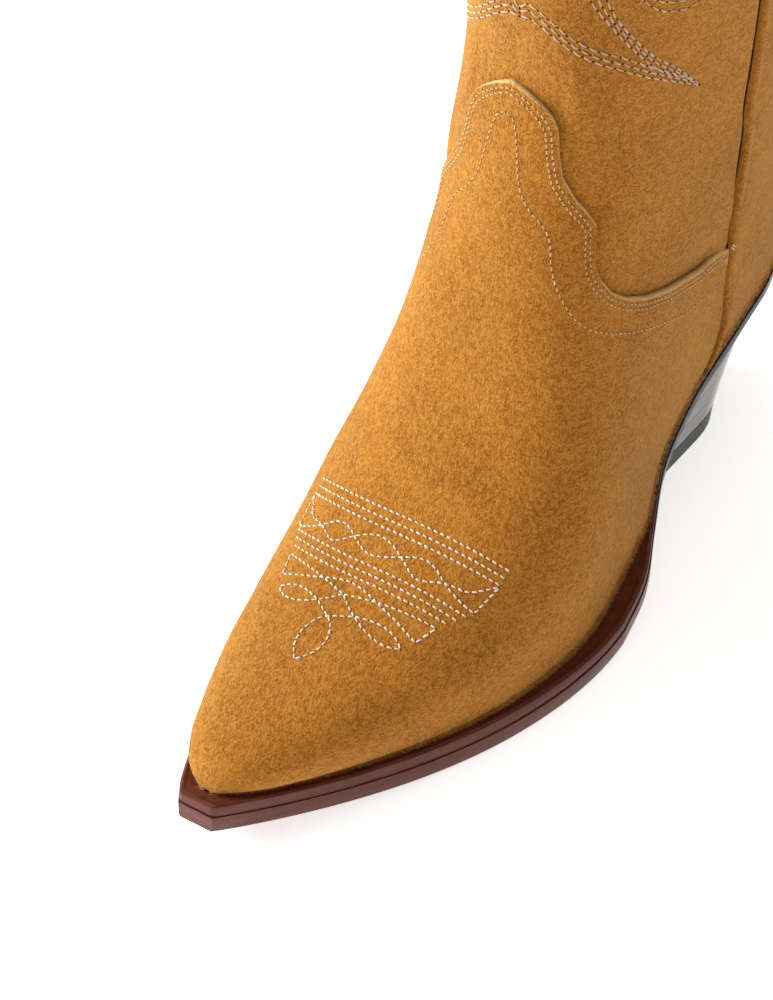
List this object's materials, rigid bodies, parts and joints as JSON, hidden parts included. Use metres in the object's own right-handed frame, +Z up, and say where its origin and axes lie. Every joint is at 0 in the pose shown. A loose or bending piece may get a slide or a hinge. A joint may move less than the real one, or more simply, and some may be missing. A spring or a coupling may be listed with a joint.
{
  "type": "cowboy boot",
  "caption": "Left pull-on cowboy boot in suede with a pointed snipped toe, a scalloped vamp, piped side seams, a leather welt and sole, an underslung stacked heel and pull straps.",
  "frame": {"origin": "centre of the bounding box's footprint, on the floor", "axes": "+Z up the shaft, -Y towards the toe, +X towards the outer side of the left foot"},
  "size_m": [0.1062, 0.2764, 0.3424],
  "materials": {
    "suede": "napped, matte",
    "trim_suede": "napped, matte",
    "sole_leather": "polished, dark brown",
    "heel_leather": "polished, nearly black brown",
    "top_lift_rubber": "matte",
    "cork": "pressed cork",
    "steel": "tempered strip",
    "insole_board": "plain",
    "lining_leather": "smooth",
    "stiffener": "stiffened"
  },
  "bodies": {
    "boot": {"vamp": "suede", "shaft_front": "suede", "shaft_back": "suede", "side_piping_outer": "trim_suede", "side_piping_inner": "trim_suede", "top_binding": "trim_suede", "pull_strap_left_outer_leg": "trim_suede", "pull_strap_left_inner_leg": "trim_suede", "pull_strap_right_outer_leg": "trim_suede", "pull_strap_right_inner_leg": "trim_suede", "outsole": "sole_leather", "welt": "sole_leather", "heel_rand": "sole_leather", "heel_lift_1": "heel_leather", "heel_lift_2": "heel_leather", "heel_lift_3": "heel_leather", "heel_wedge_lift": "heel_leather", "top_lift": "top_lift_rubber", "cork_filler": "cork", "steel_shank": "steel", "insole": "insole_board", "vamp_lining": "lining_leather", "front_lining": "lining_leather", "back_lining": "lining_leather", "sock_liner": "lining_leather", "toe_box": "stiffener", "heel_counter": "stiffener"},
    "left_pull_loop": {"pull_strap_left_loop": "trim_suede"},
    "right_pull_loop": {"pull_strap_right_loop": "trim_suede"}
  },
  "joints": [
    {"name": "left_pull_loop_bend", "type": "hinge", "parent": "boot", "child": "left_pull_loop", "pos_m": [0.04702, 0.06408, 0.3245], "axis": [0, 1, 0], "range_deg": [-15, 15], "stiffness_Nm_per_rad": 0.02},
    {"name": "right_pull_loop_bend", "type": "hinge", "parent": "boot", "child": "right_pull_loop", "pos_m": [-0.04702, 0.06408, 0.3245], "axis": [0, 1, 0], "range_deg": [-15, 15], "stiffness_Nm_per_rad": 0.02}
  ]
}
